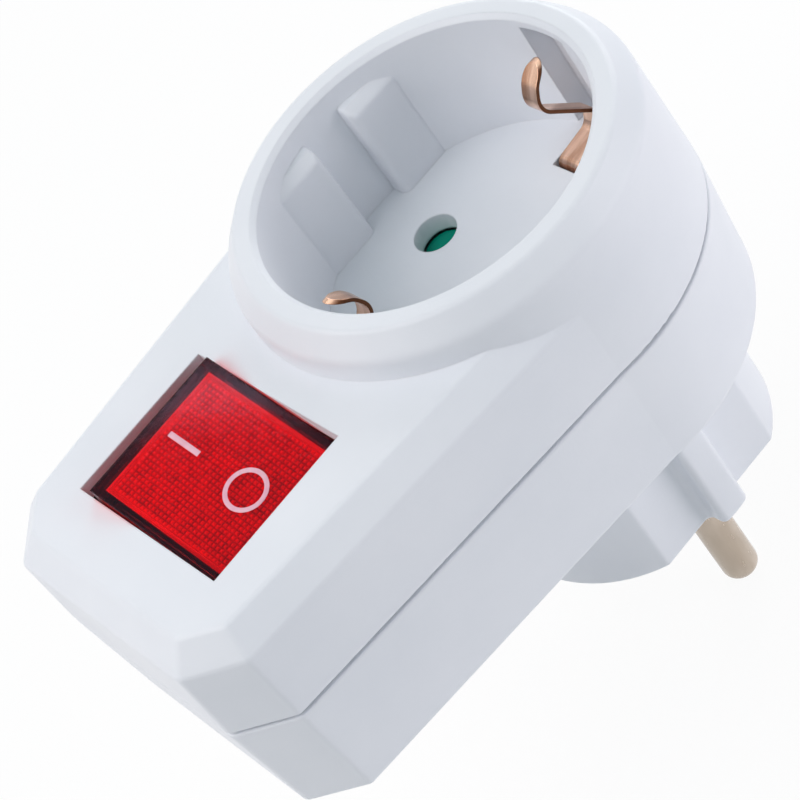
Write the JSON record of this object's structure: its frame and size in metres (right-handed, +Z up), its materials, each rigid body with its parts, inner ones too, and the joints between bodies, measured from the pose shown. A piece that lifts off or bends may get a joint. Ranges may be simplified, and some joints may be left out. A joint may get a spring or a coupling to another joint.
{
  "type": "plug adapter",
  "caption": "Switched pass-through mains plug adapter: round grounded socket recess with side earth clips, rocker switch on the flat end, round plug with pins below.",
  "frame": {"origin": "centre of the plug face, midway between the pins", "axes": "+Z up out of the socket recess, opposite to the pins; +X away from the switch end; the pins stand on Y"},
  "size_m": [0.0849, 0.0512, 0.076],
  "materials": {
    "white_shell": "satin white housing plastic with a fine grain",
    "red_lens": "clear red, ribbed underneath so that it scatters the lamp",
    "red_insert": "milky red, lit from below by the lamp",
    "black_plastic": "black switch plastic",
    "green_plastic": "green shutter plastic",
    "copper": "copper-coloured bronze spring strip, bright on its bends",
    "nickel": "nickel-plated brass, satin",
    "brass": "stamped brass",
    "steel": "zinc-plated steel",
    "silver_tip": "silver contact rivet",
    "lamp_glass": "small neon lamp",
    "resistor_body": "lacquered resistor body",
    "tinned_wire": "tinned copper wire"
  },
  "bodies": {
    "housing": {"front_shell": "white_shell", "rear_shell": "white_shell", "case_screw_left": "steel", "case_screw_right": "steel", "centre_screw": "steel", "pin_line": "nickel", "pin_neutral": "nickel", "contact_sleeve_line": "brass", "contact_sleeve_neutral": "brass", "feed_bar_line": "brass", "feed_bar_neutral": "brass", "output_bar_line": "brass", "output_bar_neutral": "brass", "earth_bridge": "brass", "plug_earth_strip_far": "nickel", "plug_earth_strip_near": "nickel", "shutter_spring": "steel", "switch_body": "black_plastic", "common_terminal_line": "brass", "output_terminal_line": "brass", "fixed_tip_line": "silver_tip", "common_terminal_neutral": "brass", "output_terminal_neutral": "brass", "fixed_tip_neutral": "silver_tip", "lamp": "lamp_glass", "resistor": "resistor_body", "lamp_lead_rear": "tinned_wire", "lamp_lead_front": "tinned_wire", "resistor_lead": "tinned_wire"},
    "rocker": {"rocker": "red_lens", "rocker_carrier": "red_insert", "plunger_spring_line": "steel", "plunger_spring_neutral": "steel"},
    "plunger_line": {"plunger_line": "black_plastic"},
    "plunger_neutral": {"plunger_neutral": "black_plastic"},
    "moving_contact_line": {"moving_contact_line": "brass"},
    "moving_contact_neutral": {"moving_contact_neutral": "brass"},
    "earth_clip_far": {"earth_clip_far": "copper"},
    "earth_clip_near": {"earth_clip_near": "copper"},
    "shutter": {"shutter": "green_plastic"}
  },
  "joints": [
    {"name": "rocker_tilt", "type": "hinge", "parent": "housing", "child": "rocker", "pos_m": [-0.03915, 0, 0.0434], "axis": [-1, 0, 0], "range_deg": [0, 22]},
    {"name": "plunger_slide_line", "type": "slide", "parent": "rocker", "child": "plunger_line", "axis": [0, -0.1908, 0.9816], "range_m": [0, 0.0006], "stiffness_N_per_m": 1500, "deforming": ["plunger_spring_line"]},
    {"name": "contact_tilt_line", "type": "hinge", "parent": "housing", "child": "moving_contact_line", "pos_m": [-0.03415, 0, 0.0363], "axis": [1, 0, 0], "range_deg": [0, 12]},
    {"name": "plunger_slide_neutral", "type": "slide", "parent": "rocker", "child": "plunger_neutral", "axis": [0, -0.1908, 0.9816], "range_m": [0, 0.0006], "stiffness_N_per_m": 1500, "deforming": ["plunger_spring_neutral"]},
    {"name": "contact_tilt_neutral", "type": "hinge", "parent": "housing", "child": "moving_contact_neutral", "pos_m": [-0.04415, 0, 0.0363], "axis": [1, 0, 0], "range_deg": [0, 12]},
    {"name": "earth_clip_flex_far", "type": "hinge", "parent": "housing", "child": "earth_clip_far", "pos_m": [0.0142, 0, 0.038], "axis": [0, 1, 0], "range_deg": [0, 16], "stiffness_Nm_per_rad": 0.15},
    {"name": "earth_clip_flex_near", "type": "hinge", "parent": "housing", "child": "earth_clip_near", "pos_m": [-0.0142, 0, 0.038], "axis": [0, -1, 0], "range_deg": [0, 16], "stiffness_Nm_per_rad": 0.15},
    {"name": "shutter_turn", "type": "hinge", "parent": "housing", "child": "shutter", "pos_m": [0, 0, 0.0355], "axis": [0, 0, 1], "range_deg": [0, 40], "stiffness_Nm_per_rad": 0.004, "deforming": ["shutter_spring"]}
  ],
  "couplings": [
    {"joint": "contact_tilt_line", "follows": "rocker_tilt", "ratio": 0.54546},
    {"joint": "contact_tilt_neutral", "follows": "rocker_tilt", "ratio": 0.54546}
  ]
}
